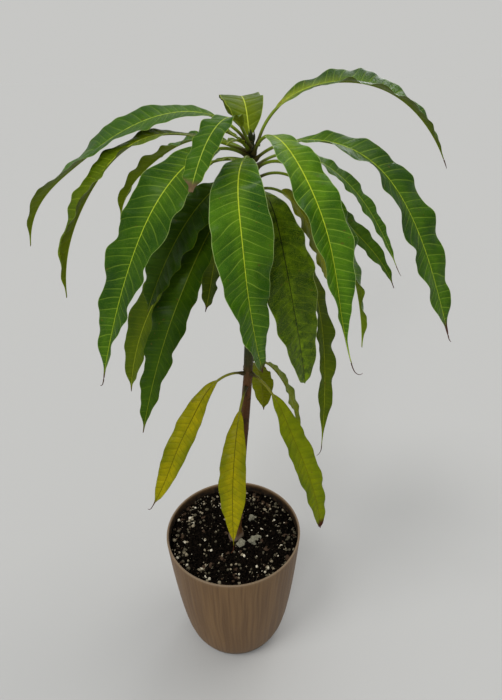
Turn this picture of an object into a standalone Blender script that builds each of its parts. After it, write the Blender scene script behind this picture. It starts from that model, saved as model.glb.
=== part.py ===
"""A young mango tree in a taupe plastic pot: pot, soil, leaning stem and its leaves.

Metres, +Z up.  The origin is the centre of the pot's underside.  Headings are degrees
round the stem: 0 is +X, 90 is +Y.  Pitches are degrees above the level.
"""

import math

import bmesh
import bpy
from mathutils import Vector

# Pot
POT_HEIGHT = 0.146
POT_RIM_RADIUS = 0.0725
POT_FOOT_RADIUS = 0.046
POT_FLARE = 0.4          # how early the side swells out above the foot
POT_WALL = 0.0022
POT_FLOOR = 0.003
FOOT_ROUNDING = 0.003
TURN_STEPS = 44

# Soil
SOIL_TOP = 0.135
GAP = 0.0003             # between pieces that lie against each other

# Stem: a leaning shoot, flared where it leaves the soil
STEM_TIP_HEIGHT = 0.542
STEM_LEAN = [(0.135, 0.0020), (0.240, 0.0105), (0.340, 0.0185), (0.440, 0.0225), (0.542, 0.0240)]
STEM_RADII = [(0.135, 0.0085), (0.140, 0.0068), (0.150, 0.0054), (0.175, 0.0048), (0.250, 0.0045),
              (0.345, 0.0042), (0.450, 0.0038), (0.520, 0.0035), (0.536, 0.0028), (0.542, 0.0014)]

# Leaves
LEAF_THICKNESS = 0.0025
STALK_WIDTH = 0.0026
STALK_SEGMENTS = 4
BLADE_SEGMENTS = 25
MATURE_WAVE = (0.0018, 6.5)
PALE_WAVE = (0.0010, 6.0)
MATURE_FOLD = (12, 12, 20)
BASE_FULLNESS = 0.72


def clear_scene():
    for thing in list(bpy.data.objects):
        bpy.data.objects.remove(thing, do_unlink=True)


def new_material(name, colour, roughness):
    material = bpy.data.materials.new(name)
    material.use_nodes = True
    shader = material.node_tree.nodes["Principled BSDF"]
    shader.inputs["Base Color"].default_value = (*colour, 1.0)
    shader.inputs["Roughness"].default_value = roughness
    shader.inputs["Metallic"].default_value = 0.0
    return material


def add_object(name, data, collection, material):
    thing = bpy.data.objects.new(name, data)
    data.materials.append(material)
    collection.objects.link(thing)
    return thing


def between(stations, height):
    """The value at a height, straight between the stations listed."""
    if height <= stations[0][0]:
        return stations[0][1]
    for (low, first), (high, second) in zip(stations, stations[1:]):
        if height <= high:
            return first + (second - first) * (height - low) / (high - low)
    return stations[-1][1]


def along(values, fraction):
    """A smooth curve through equally spaced values."""
    last = len(values) - 1
    place = min(max(fraction, 0.0), 1.0) * last
    i = min(int(place), last - 1)
    f = place - i
    before = values[i - 1] if i > 0 else 2 * values[0] - values[1]
    after = values[i + 2] if i + 2 <= last else 2 * values[last] - values[last - 1]
    a, b = values[i], values[i + 1]
    return 0.5 * (2 * a + (b - before) * f + (2 * before - 5 * a + 4 * b - after) * f * f
                  + (3 * a - before - 3 * b + after) * f ** 3)


def pot_radius(height):
    """Outer radius of the pot: a side that swells quickly above the foot."""
    rise = (height / POT_HEIGHT) ** POT_FLARE
    return POT_FOOT_RADIUS + (POT_RIM_RADIUS - POT_FOOT_RADIUS) * rise


def turned(name, profile, collection, material):
    """A closed turned body; the profile runs down its outer side."""
    mesh = bpy.data.meshes.new(name)
    edges = [(i, i + 1) for i in range(len(profile) - 1)]
    mesh.from_pydata([(r, 0.0, z) for r, z in profile], edges, [])
    thing = add_object(name, mesh, collection, material)
    screw = thing.modifiers.new("turn", 'SCREW')
    screw.steps = TURN_STEPS
    screw.render_steps = TURN_STEPS
    screw.use_merge_vertices = True
    screw.merge_threshold = 0.00005
    return thing


def make_pot(collection, material):
    heights = [1.0, 0.86, 0.72, 0.56, 0.40, 0.26, 0.14, 0.07]
    outer = [(pot_radius(POT_HEIGHT * h), POT_HEIGHT * h) for h in heights]
    foot = pot_radius(FOOT_ROUNDING)
    outer.append((foot, FOOT_ROUNDING))
    outer.append((foot - 0.3 * FOOT_ROUNDING, 0.3 * FOOT_ROUNDING))
    outer.append((foot - FOOT_ROUNDING, 0.0))
    inner = [(0.0, 0.0), (0.0, POT_FLOOR)]
    inner += [(pot_radius(max(POT_HEIGHT * h, POT_FLOOR)) - POT_WALL, POT_HEIGHT * h)
              for h in reversed(heights)]
    inner[2:2] = [(pot_radius(POT_FLOOR) - POT_WALL - 0.001, POT_FLOOR)]
    profile = outer + inner + [outer[0]]
    return turned("pot", profile, collection, material)


def make_soil(collection, material):
    """The soil that fills the pot, a hair inside its wall."""
    heights = [0.86, 0.72, 0.56, 0.40, 0.26, 0.14, 0.07]
    clear = POT_WALL + 2 * GAP

    def reach(height):
        return pot_radius(height) - clear

    side = [(reach(SOIL_TOP) - 0.0012, SOIL_TOP), (reach(SOIL_TOP - 0.0015), SOIL_TOP - 0.0015)]
    side += [(reach(POT_HEIGHT * h), POT_HEIGHT * h) for h in heights]
    base = POT_FLOOR + GAP
    side.append((pot_radius(base) - clear - 0.0015, base))
    profile = [(0.0, SOIL_TOP)] + side + [(0.0, base)]
    return turned("soil", profile, collection, material)


def stem_x(height):
    return between(STEM_LEAN, height)


def stem_radius(height):
    return between(STEM_RADII, height)


def make_stem(collection, material):
    """The stem from its flat cut on the soil to its tip, as one tapering tube."""
    foot = SOIL_TOP + GAP
    heights = [foot, 0.140, 0.150, 0.175, 0.215, 0.260, 0.300, 0.345, 0.395,
               0.440, 0.485, 0.520, 0.536, STEM_TIP_HEIGHT]
    curve = bpy.data.curves.new("stem", 'CURVE')
    curve.dimensions = '3D'
    curve.bevel_depth = 1.0
    curve.bevel_resolution = 2
    curve.use_fill_caps = True
    spline = curve.splines.new('POLY')
    spline.points.add(len(heights) - 1)
    for point, height in zip(spline.points, heights):
        # the lowest two points stand plumb, so that the cut lies flat
        x = stem_x(max(height, 0.140))
        point.co = (x, 0.0, height, 1.0)
        point.radius = stem_radius(height)
    return add_object("stem", curve, collection, material)


def direction(heading, pitch):
    h = math.radians(heading)
    p = math.radians(pitch)
    return Vector((math.cos(p) * math.cos(h), math.cos(p) * math.sin(h), math.sin(p)))


def leaf_frames(leaf, steps=90):
    """Points, sideways and upward vectors from the stalk's base to the leaf's tip."""
    total = leaf["stalk"] + leaf["blade"]
    heading = leaf["heading"][0]
    pitch = leaf["pitch"][0]
    tilt = abs(math.sin(math.radians(pitch)))
    reach = stem_radius(leaf["at"]) + GAP + 0.0002 + LEAF_THICKNESS / 2 * tilt
    level = direction(heading, 0.0)
    place = Vector((stem_x(leaf["at"]), 0.0, leaf["at"])) + level * reach
    frames = []
    ahead = direction(heading, pitch)
    for i in range(steps + 1):
        f = i / steps
        heading = along(leaf["heading"], f)
        now = direction(heading, along(leaf["pitch"], f))
        if i:
            place = place + (ahead + now) * (total / steps / 2)
        ahead = now
        h = math.radians(heading)
        side = Vector((math.sin(h), -math.cos(h), 0.0))
        up = side.cross(now)
        roll = math.radians(along(leaf["roll"], f))
        rolled = side * math.cos(roll) + up * math.sin(roll)
        frames.append((place.copy(), rolled, up * math.cos(roll) - side * math.sin(roll)))
    return frames


def frame_at(frames, fraction):
    place = fraction * (len(frames) - 1)
    i = min(int(place), len(frames) - 2)
    return [a.lerp(b, place - i) for a, b in zip(frames[i], frames[i + 1])]


def blade_outline(t, point):
    """Share of the half width at a fraction of the blade: lance-shaped, and slim at the tip if point is high."""
    if not 0.0 < t < 1.0:
        return 0.0
    return math.sin(math.pi * t ** 0.92) ** (BASE_FULLNESS if t < 0.47 else point)


def make_leaf(leaf, collection, material):
    """One leaf: a grid laid along the stalk and the blade, then given its thickness."""
    segments = STALK_SEGMENTS + BLADE_SEGMENTS
    frames = leaf_frames(leaf)
    total = leaf["stalk"] + leaf["blade"]
    size, count = leaf["wave"]
    bm = bmesh.new()
    bmesh.ops.create_grid(bm, x_segments=segments, y_segments=2, size=0.5)
    for vert in bm.verts:
        station = round((vert.co.x + 0.5) * segments)
        side = 2.0 * vert.co.y
        if station <= STALK_SEGMENTS:
            t = 0.0
            reached = leaf["stalk"] * station / STALK_SEGMENTS
            half = STALK_WIDTH / 2
            fold = 0.0
        else:
            t = (station - STALK_SEGMENTS) / BLADE_SEGMENTS
            reached = leaf["stalk"] + leaf["blade"] * t
            half = max(leaf["width"] / 2 * blade_outline(t * leaf["cut"], leaf["point"]), 0.0011)
            fold = math.radians(along(leaf["fold"], t))
        fullness = min(half / (leaf["width"] / 2), 1.0)
        phase = leaf["phase"] + (0.0 if side > 0 else 1.9)
        ripple = size * fullness * math.sin(2 * math.pi * count * t + phase) * abs(side)
        place, across, up = frame_at(frames, reached / total)
        rise = half * abs(side) * math.sin(fold) * 0.85 + (ripple if t > 0.0 else 0.0)
        vert.co = place + across * (half * side * math.cos(fold)) + up * rise
    mesh = bpy.data.meshes.new(leaf["name"])
    bm.to_mesh(mesh)
    bm.free()
    thing = add_object(leaf["name"], mesh, collection, material)
    solid = thing.modifiers.new("thickness", 'SOLIDIFY')
    solid.thickness = LEAF_THICKNESS
    solid.offset = 0.0
    mesh.shade_smooth()
    return thing


leaves = []


def leaf(name, at, stalk, blade, width, heading, pitch,
         roll=(0, 0, 0), fold=MATURE_FOLD, wave=MATURE_WAVE, point=0.72, cut=1.0):
    """Note down one leaf: where its stalk leaves the stem, its size and how it bends."""
    leaves.append({"name": name, "at": at, "stalk": stalk, "blade": blade, "width": width,
                   "heading": heading, "pitch": pitch, "roll": roll, "fold": fold,
                   "wave": wave, "phase": 1.1 * len(leaves), "point": point, "cut": cut})


# Crown, upper tier: the leaves that arch out from the tip
leaf("leaf_left_high", 0.540, 0.026, 0.188, 0.038, (190, 188, 184, 180, 178), (53, -3, -30, -40, -82),
     (5, 18, 16, -2, -5), (6, 10, 14, 30), (0.0012, 5), point=0.95)
leaf("leaf_left_folded", 0.533, 0.030, 0.180, 0.026, (194, 203, 200, 192, 184), (26, 5, -42, -64, -87),
     (0, -4, 0, 14), (8, 14, 36, 45), (0.0018, 5), point=0.75)
leaf("leaf_left_back", 0.532, 0.028, 0.150, 0.026, (122, 138, 156, 164, 166), (14, 0, -27, -44, -78),
     (15, 10, -10, -20), (15, 15, 25, 30), point=0.8)
leaf("leaf_left_front", 0.530, 0.030, 0.192, 0.042, (228, 228, 219, 211, 207), (32, -20, -55, -68, -74),
     (18, 20, 12, 10), (8, 8, 15, 25))
leaf("leaf_young_broken", 0.537, 0.022, 0.085, 0.022, (252, 249, 243, 235, 232), (46, 31, -14, -50, -66),
     (0, 0, 0), (8, 8, 12), (0.0008, 6), cut=0.85)
leaf("leaf_back_high", 0.535, 0.009, 0.086, 0.032, (99, 101, 101, 99, 98), (60, 54, 6, -30, -45),
     (0, 0, 0), (14, 8, 8, 20), (0.0010, 4))
leaf("leaf_right_high", 0.537, 0.027, 0.156, 0.034, (5, 5, 5, 5, 5), (78, 25, -8, -39, -62),
     (-12, -12, -14, -12), (14, 16, 20, 26), (0.0012, 6.5), point=0.85)
leaf("leaf_right_long", 0.528, 0.035, 0.198, 0.038, (-50, -25, -15, -15, -15), (37, -4, -50, -66, -70),
     (-8, -10, -30, -30), (18, 15, 12, 12), (0.0022, 6.5), point=0.6)
leaf("leaf_right_front", 0.532, 0.025, 0.184, 0.032, (-67, -62, -42, -32, -30), (55, -24, -62, -78, -70),
     (0, -10, -22, -24), (8, 14, 34, 45), point=1.0)
leaf("leaf_front", 0.526, 0.026, 0.166, 0.042, (-98, -98, -71, -40, -22), (32, -24, -75, -80, -76),
     (0, 0, 0), (8, 8, 12), (0.0015, 6.5), point=0.52)

# Crown, middle tier
leaf("leaf_right_inner", 0.521, 0.028, 0.158, 0.026, (-48, -43, -29, -16, -5), (38, -26, -62, -75, -87),
     (0, -2, 6, 8), (15, 20, 25), point=0.8)
leaf("leaf_right_back_upper", 0.522, 0.030, 0.172, 0.021, (45, 33, 22, 12, 0), (24, -16, -40, -56, -64),
     (-15, -30, -50, -40), (12, 12, 20), (0.0010, 6.5), point=0.8)
leaf("leaf_right_back_lower", 0.513, 0.030, 0.144, 0.021, (38, 15, 8, 4, 5), (22, -36, -42, -48, -66),
     (-10, -25, -50, -40), (12, 12, 20), (0.0012, 6.5), point=0.8)
leaf("leaf_front_right_low", 0.506, 0.022, 0.150, 0.042, (-73, -62, -52, -42, -35), (35, -54, -72, -76, -82),
     (0, -5, -10, -10), (8, 8, 12), (0.0012, 6.5), point=0.5)
leaf("leaf_left_inner", 0.517, 0.026, 0.112, 0.038, (230, 225, 210, 201, 198), (12, -24, -50, -62, -68),
     (15, 20, 25))
leaf("leaf_back_middle", 0.518, 0.028, 0.150, 0.036, (103, 103, 101, 100, 100), (5, -38, -60, -72, -82))

# Crown, lower tier: the leaves that hang
leaf("leaf_hanging_right_back", 0.505, 0.025, 0.118, 0.034, (36, 34, 28, 20, 15), (8, -40, -60, -68, -76),
     (-30, -50, -50, -40))
leaf("leaf_hanging_right", 0.490, 0.026, 0.208, 0.022, (0, -14, -40, -75, -110), (-24, -66, -79, -84, -86),
     (-10, -10, 10, 20), (15, 20, 25), point=0.9)
leaf("leaf_hanging_left_front", 0.506, 0.028, 0.186, 0.030, (231, 226, 214, 209, 208), (-8, -48, -62, -70, -75),
     (15, 25, 30), (10, 14, 24), (0.0022, 6.5), point=0.8)
leaf("leaf_hanging_left", 0.498, 0.028, 0.188, 0.034, (165, 175, 180, 185, 190), (-25, -50, -57, -70, -82),
     (30, 50, 50), (12, 12, 20), (0.0012, 6.5))
leaf("leaf_hanging_left_back", 0.502, 0.028, 0.118, 0.028, (110, 125, 150, 170, 180), (-10, -46, -72, -78, -75),
     (20, 40, 60), (12, 12, 20), (0.0012, 6.5))
leaf("leaf_hanging_back", 0.499, 0.028, 0.168, 0.036, (72, 70, 68, 66, 66), (5, -40, -62, -72, -80))
leaf("leaf_back_left", 0.526, 0.030, 0.152, 0.034, (136, 136, 136, 137, 138), (8, -26, -58, -72, -80),
     (0, 0, 0), (10, 14, 20))
MATURE_COUNT = len(leaves)

# Old pale leaves, lower on the stem
leaf("old_leaf_left", 0.345, 0.026, 0.140, 0.022, (210, 207, 205, 206, 208), (28, -50, -60, -66, -54),
     (20, 40, 45, 30), wave=PALE_WAVE)
leaf("old_leaf_front", 0.331, 0.022, 0.143, 0.026, (-107, -106, -105, -100, -90), (-25, -62, -75, -86, -88),
     wave=PALE_WAVE, point=1.25)
leaf("old_leaf_right", 0.345, 0.028, 0.142, 0.026, (-48, -46, -38, -30, -28), (0, -52, -62, -72, -85),
     (0, -15, -25), wave=PALE_WAVE, point=0.62)
leaf("old_leaf_back", 0.351, 0.020, 0.090, 0.025, (74, 74, 76, 78, 78), (-25, -45, -62, -72, -82),
     wave=PALE_WAVE)
leaf("old_leaf_right_back", 0.355, 0.028, 0.122, 0.024, (53, 48, 38, 30, 25), (-22, -48, -64, -76, -84),
     (-20, -40, -50), wave=PALE_WAVE)


def build():
    clear_scene()
    parts = bpy.data.collections.new("mango_sapling")
    bpy.context.scene.collection.children.link(parts)
    make_pot(parts, new_material("taupe_plastic", (0.20, 0.17, 0.15), 0.55))
    make_soil(parts, new_material("potting_soil", (0.02, 0.018, 0.016), 0.95))
    make_stem(parts, new_material("young_bark", (0.16, 0.09, 0.06), 0.75))
    green = new_material("mature_leaf", (0.05, 0.16, 0.02), 0.35)
    pale = new_material("old_leaf", (0.25, 0.28, 0.03), 0.45)
    for number, one in enumerate(leaves):
        make_leaf(one, parts, green if number < MATURE_COUNT else pale)


build()
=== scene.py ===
# %% [markdown]
# A young mango tree in its pot, dressed for a close look.  A frame of plain solids is loaded
# first: pot, soil, stem and one thick blade for every leaf.  Each step below makes the real
# surface of one of them and hides the plain solid.  Nothing changes place or size.

import math
import random
from types import SimpleNamespace

import bmesh
import bpy
from mathutils import Matrix, Vector, noise


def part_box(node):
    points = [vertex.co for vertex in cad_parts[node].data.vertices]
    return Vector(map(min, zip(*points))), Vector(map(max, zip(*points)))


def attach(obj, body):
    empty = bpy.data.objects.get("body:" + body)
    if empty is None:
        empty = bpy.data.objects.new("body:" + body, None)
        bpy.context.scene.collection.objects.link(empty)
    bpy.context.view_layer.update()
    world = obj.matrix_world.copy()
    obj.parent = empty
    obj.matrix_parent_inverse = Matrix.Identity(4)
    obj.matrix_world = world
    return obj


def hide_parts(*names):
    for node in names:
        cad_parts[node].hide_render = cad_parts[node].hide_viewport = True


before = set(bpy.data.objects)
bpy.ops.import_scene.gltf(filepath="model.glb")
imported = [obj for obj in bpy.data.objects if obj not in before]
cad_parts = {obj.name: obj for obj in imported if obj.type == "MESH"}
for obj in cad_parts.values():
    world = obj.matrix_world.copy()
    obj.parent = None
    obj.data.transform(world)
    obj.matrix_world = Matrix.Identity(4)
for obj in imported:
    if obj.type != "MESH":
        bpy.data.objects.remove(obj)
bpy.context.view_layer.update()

# %% [markdown]
# The pot, the soil and the stem are measured from the frame's own boxes, so that every piece
# made here meets them.  A box is its lowest and its highest corner.

# %% Measure the pot, the soil and the stem
pot_low, pot_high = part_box("pot")
soil_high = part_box("soil")[1]
stem_low, stem_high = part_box("stem")
POT_HEIGHT = pot_high[2]
POT_RIM_RADIUS = (pot_high[0] - pot_low[0]) / 2
SOIL_TOP = soil_high[2]
STEM_FOOT = stem_low[2]
STEM_TIP = stem_high[2]
print(f"pot {POT_HEIGHT * 1000:.0f} mm high, {POT_RIM_RADIUS * 2000:.0f} mm across")

# %% [markdown]
# The camera stands close to the plant, a little above its crown, and looks down at a slant.
# Close and wide is what makes the crown look large and the pot small.

# %% Place the camera
CAMERA_PLACE = Vector((0.0216, -0.406, 0.592))
CAMERA_DOWN = math.radians(28.95)
CAMERA_ROLL = math.radians(-0.76)
FOCAL_LENGTH = 27.0          # in millimetres, on a sensor of this width
SENSOR_WIDTH = 36.0
NEAREST_SEEN = 0.01

camera_data = bpy.data.cameras.new("view")
camera_data.lens = FOCAL_LENGTH
camera_data.sensor_width = SENSOR_WIDTH
camera_data.clip_start = NEAREST_SEEN
camera = bpy.data.objects.new("view", camera_data)
aim = Matrix.Rotation(math.radians(90) - CAMERA_DOWN, 4, 'X') @ Matrix.Rotation(CAMERA_ROLL, 4, 'Z')
camera.matrix_world = Matrix.Translation(CAMERA_PLACE) @ aim
bpy.context.scene.collection.objects.link(camera)
bpy.context.scene.camera = camera
print("camera at", tuple(round(number, 3) for number in CAMERA_PLACE))

# %% [markdown]
# Five sun lamps make soft studio light: two from above, as from a bright ceiling, one from low
# in front, and two weaker ones from behind, so that the far side isn't dark.  A sun lamp with a
# wide angle lights the floor evenly as far as it reaches and leaves a broad shine on waxy
# leaves; a narrow one would leave hard white dots.  The world is an even grey, just as bright
# as the lit floor, so that no line shows where the floor ends.  The standard view transform
# shows each colour as it was mixed, where a filmic one would dull the leaves' deep green.

# %% Light the studio
WORLD_GREY = 0.57
WORLD_COLOUR = (1.0, 1.0, 0.975, 1.0)


def soft_sun(name, comes_from, strength, width, colour):
    """A sun lamp that shines from a point to the origin; its width is an angle in degrees."""
    lamp = bpy.data.lights.new(name, 'SUN')
    lamp.energy = strength
    lamp.angle = math.radians(width)
    lamp.color = colour
    thing = bpy.data.objects.new(name, lamp)
    thing.location = comes_from
    thing.rotation_euler = Vector(comes_from).to_track_quat('Z', 'Y').to_euler()
    bpy.context.scene.collection.objects.link(thing)


soft_sun("ceiling_left", (-0.9, -0.7, 1.9), 1.00, 20, (1.0, 0.99, 0.97))
soft_sun("ceiling_right", (0.9, 0.4, 1.8), 0.60, 30, (1.0, 0.97, 0.93))
soft_sun("room_front", (-0.35, -1.0, 0.40), 0.85, 16, (0.98, 0.99, 1.0))
soft_sun("ceiling_back", (-0.1, 1.3, 1.6), 0.30, 40, (0.97, 0.98, 1.0))
soft_sun("room_back", (0.4, 1.0, 0.45), 0.45, 20, (0.98, 0.99, 1.0))
world = bpy.data.worlds.new("pale_room")
world.use_nodes = True
world.node_tree.nodes["Background"].inputs["Color"].default_value = WORLD_COLOUR
world.node_tree.nodes["Background"].inputs["Strength"].default_value = WORLD_GREY
bpy.context.scene.world = world
bpy.context.scene.view_settings.view_transform = 'Standard'

# %% [markdown]
# Every finish is a Principled material fed by a few nodes.  These helpers start a material and
# add a node to it.  An input is fed with a number, a colour or another node's output, and each
# output knows the node tree that it belongs to, so the tree is never handed round.

# %% Helpers that add nodes
def start_material(name, roughness, specular):
    material = bpy.data.materials.new(name)
    material.use_nodes = True
    shader = material.node_tree.nodes["Principled BSDF"]
    shader.inputs["Roughness"].default_value = roughness
    shader.inputs["Specular IOR Level"].default_value = specular
    return material, shader


def feed(socket, value):
    """Sets an input to a number or a colour, or links it to another node's output."""
    if isinstance(value, (int, float, tuple)):
        socket.default_value = value
    else:
        socket.id_data.links.new(value, socket)


def add_node(tree, kind, values, **settings):
    """Settings are the node's own; values go to its inputs, by name or by number."""
    node = tree.nodes.new(kind)
    for key, value in settings.items():
        setattr(node, key, value)
    for key, value in values.items():
        feed(node.inputs[key], value)
    return node


def object_place(shader):
    """Where a point of the surface lies, in Object coordinates."""
    return add_node(shader.id_data, "ShaderNodeTexCoord", {}).outputs["Object"]


def stored(shader, name):
    """A value that was stored on the mesh under this name."""
    return add_node(shader.id_data, "ShaderNodeAttribute", {}, attribute_name=name).outputs["Fac"]


def shade(red, green, blue):
    """A colour as a screen shows it, from 0 to 255, turned into the light that it reflects."""
    return tuple(((number / 255 + 0.055) / 1.055) ** 2.4 for number in (red, green, blue)) + (1.0,)


print("a mid grey reflects", round(shade(128, 128, 128)[0], 3))

# %% [markdown]
# The next helpers work on values and colours: arithmetic, a smooth fade between two limits, a
# mix of two colours, a tint laid over a colour, noise, and relief.

# %% Helpers that mix
def tree_of(*values):
    """The node tree of the first output among these values."""
    return next(value.id_data for value in values if isinstance(value, bpy.types.NodeSocket))


def scalar(operation, *values):
    return add_node(tree_of(*values), "ShaderNodeMath", dict(enumerate(values)),
                    operation=operation).outputs[0]


def fade(value, low, high, start=0.0, end=1.0):
    """Turns a value between low and high into a smooth step from start to end."""
    limits = {"Value": value, "From Min": low, "From Max": high, "To Min": start, "To Max": end}
    return add_node(value.id_data, "ShaderNodeMapRange", limits,
                    interpolation_type='SMOOTHSTEP').outputs["Result"]


def blend_colours(share, first, second):
    """Mixes two colours: a Mix node takes the share at input 0 and its colours at 6 and 7."""
    return add_node(tree_of(share, first, second), "ShaderNodeMix", {0: share, 6: first, 7: second},
                    data_type='RGBA').outputs[2]


def tinted(colour, other, share, strength):
    """Lays another colour over this one as far as share times strength says."""
    return blend_colours(scalar('MULTIPLY', share, strength), colour, other)


def combined(x, y, z=0.0):
    return add_node(tree_of(x, y, z), "ShaderNodeCombineXYZ", {0: x, 1: y, 2: z}).outputs[0]


def height_of(place):
    return add_node(place.id_data, "ShaderNodeSeparateXYZ", {0: place}).outputs["Z"]


def speckle(place, scale, detail=2.0, roughness=0.5):
    values = {"Vector": place, "Scale": scale, "Detail": detail, "Roughness": roughness}
    return add_node(place.id_data, "ShaderNodeTexNoise", values).outputs[0]


def raised(shader, height, distance, strength):
    values = {"Height": height, "Distance": distance, "Strength": strength}
    bump = add_node(shader.id_data, "ShaderNodeBump", values)
    feed(shader.inputs["Normal"], bump.outputs["Normal"])


print("material helpers ready")

# %% [markdown]
# The floor is plain and pale.  It is a stage, not part of the plant, and lies a hair below the
# pot's foot, so that the two faces don't show through each other.

# %% Lay the floor
FLOOR_REACH = 20.0
FLOOR_DROP = 0.0005
FLOOR_COLOUR = (0.4635, 0.4657, 0.463, 1.0)


def make_floor():
    material, shader = start_material("pale_floor", 0.9, 0.0)
    feed(shader.inputs["Base Color"], FLOOR_COLOUR)
    bm = bmesh.new()
    bmesh.ops.create_grid(bm, x_segments=1, y_segments=1, size=FLOOR_REACH)
    mesh = bpy.data.meshes.new("floor")
    bm.to_mesh(mesh)
    bm.free()
    mesh.materials.append(material)
    floor = bpy.data.objects.new("floor", mesh)
    floor.location.z = -FLOOR_DROP
    bpy.context.scene.collection.objects.link(floor)


make_floor()
print("floor laid")

# %% [markdown]
# Every piece of the plant ends the same way: its mesh becomes an object at the origin, takes
# its materials, rides on the plant's body, and stands in for the plain solid it covers.

# %% Finish a piece
def finish_piece(name, bm, materials, covers=None, sharp=50):
    mesh = bpy.data.meshes.new(name)
    bm.to_mesh(mesh)
    bm.free()
    for material in materials:
        mesh.materials.append(material)
    mesh.shade_smooth()
    mesh.set_sharp_from_angle(angle=math.radians(sharp))
    piece = bpy.data.objects.new(name, mesh)
    bpy.context.scene.collection.objects.link(piece)
    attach(piece, "root")
    if covers:
        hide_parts(covers)
    print(f"{name}: {len(mesh.polygons)} faces")


# %% [markdown]
# The pot is moulded plastic that swells quickly above its foot, so its side is a power curve.
# A profile is drawn once and spun round the axis.

# %% Draw the pot's profile
POT_FOOT_RADIUS = 0.046
POT_FLARE = 0.4              # the power: the lower, the quicker the side swells
GRAIN_ROOM = 0.0002          # left at the rim for the relief of the grain
POT_WALL = 0.0022
POT_FLOOR = 0.003
FOOT_ROUNDING = 0.003
SIDE_ROWS = 44
INNER_ROWS = 16


def pot_radius(height):
    rise = (max(height, 0.0) / POT_HEIGHT) ** POT_FLARE
    return POT_FOOT_RADIUS + (POT_RIM_RADIUS - GRAIN_ROOM - POT_FOOT_RADIUS) * rise


def pot_profile():
    """Outer side from the foot up, over the rounded lip, and down the inside."""
    points = [(0.0, 0.0), (0.02, 0.0)]
    foot = pot_radius(FOOT_ROUNDING)
    for step in range(5):
        turn = math.radians(90 * step / 4)
        out = foot - FOOT_ROUNDING + FOOT_ROUNDING * math.sin(turn)
        points.append((out, FOOT_ROUNDING - FOOT_ROUNDING * math.cos(turn)))
    lip = POT_WALL / 2
    top = POT_HEIGHT - lip
    for row in range(1, SIDE_ROWS + 1):
        height = FOOT_ROUNDING + (top - FOOT_ROUNDING) * row / SIDE_ROWS
        points.append((pot_radius(height), height))
    for step in range(1, 6):
        turn = math.radians(180 * step / 6)
        points.append((pot_radius(top) - lip + lip * math.cos(turn), top + lip * math.sin(turn)))
    for row in range(INNER_ROWS, 0, -1):
        height = POT_FLOOR + (top - POT_FLOOR) * (row / INNER_ROWS) ** 0.25
        points.append((pot_radius(height) - POT_WALL, height))
    points += [(pot_radius(POT_FLOOR) - 0.004, POT_FLOOR), (0.0, POT_FLOOR)]
    return points


print(len(pot_profile()), "points in the pot's profile")

# %% [markdown]
# The pot's grain is real relief, a fifth of a millimetre deep: noise stretched along the
# height, sampled at each vertex, pushes it out or in.  The vertex also keeps what the colour
# will follow: the grain, the way round the pot, the lip for its painted highlight, and the
# wall that the soil touches for its soil stain and painted shade.

# %% Grain the pot's side and spin it
POT_STEPS = 560
GRAIN_DEPTH = 0.00022
POT_LAYERS = ("grain", "east", "north", "lip", "stain_and_shade")


def ramp(value, start, full):
    """0 at start, 1 at full and straight between, whichever of them is the higher."""
    return min(max((value - start) / (full - start), 0.0), 1.0)


def grain(turn, height):
    """Upright grain: high where a rib stands proud, from -1 to 1."""
    sway = 0.010 * math.sin(height * 38 + turn) + 0.006 * math.sin(height * 95 + 3 * turn)
    around = Vector((math.cos(turn + sway), math.sin(turn + sway), 0.0)) * POT_RIM_RADIUS
    coarse = noise.noise(Vector((around.x * 210, around.y * 210, height * 9)))
    fine = noise.noise(Vector((around.x * 480, around.y * 480, height * 14 + 40)))
    return 0.45 * coarse + 0.55 * fine


def grain_pot(bm):
    layers = {name: bm.verts.layers.float.new(name) for name in POT_LAYERS}
    for vert in bm.verts:
        height = vert.co.z
        turn = math.atan2(vert.co.y, vert.co.x)
        vert[layers["east"]] = math.cos(turn)
        vert[layers["north"]] = math.sin(turn)
        # the lip's share of the painted highlight
        vert[layers["lip"]] = ramp(height, POT_HEIGHT - 0.0014, POT_HEIGHT - 0.0006)
        outer = vert.co.to_2d().length > pot_radius(height) - POT_WALL / 4
        if outer and height > FOOT_ROUNDING:
            relief = grain(turn, height)
            vert[layers["grain"]] = relief
            depth = GRAIN_DEPTH * ramp(height, POT_HEIGHT - 0.002, POT_HEIGHT - 0.008)
            vert.co.xy += vert.co.xy.normalized() * relief * depth
        else:
            # the inner wall's share of the soil stain and painted shade
            vert[layers["stain_and_shade"]] = ramp(height, POT_HEIGHT - 0.0012, POT_HEIGHT - 0.0042)


def shape_pot():
    bm = bmesh.new()
    verts = [bm.verts.new((out, 0.0, height)) for out, height in pot_profile()]
    edges = [bm.edges.new(pair) for pair in zip(verts, verts[1:])]
    bmesh.ops.spin(bm, geom=verts + edges, cent=(0, 0, 0), axis=(0, 0, 1),
                   angle=math.tau, steps=POT_STEPS, use_merge=True, use_duplicate=False)
    bmesh.ops.remove_doubles(bm, verts=bm.verts, dist=0.00001)
    bmesh.ops.recalc_face_normals(bm, faces=bm.faces)
    grain_pot(bm)
    return bm


pot_mesh = shape_pot()
print("pot:", len(pot_mesh.faces), "faces")
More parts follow.
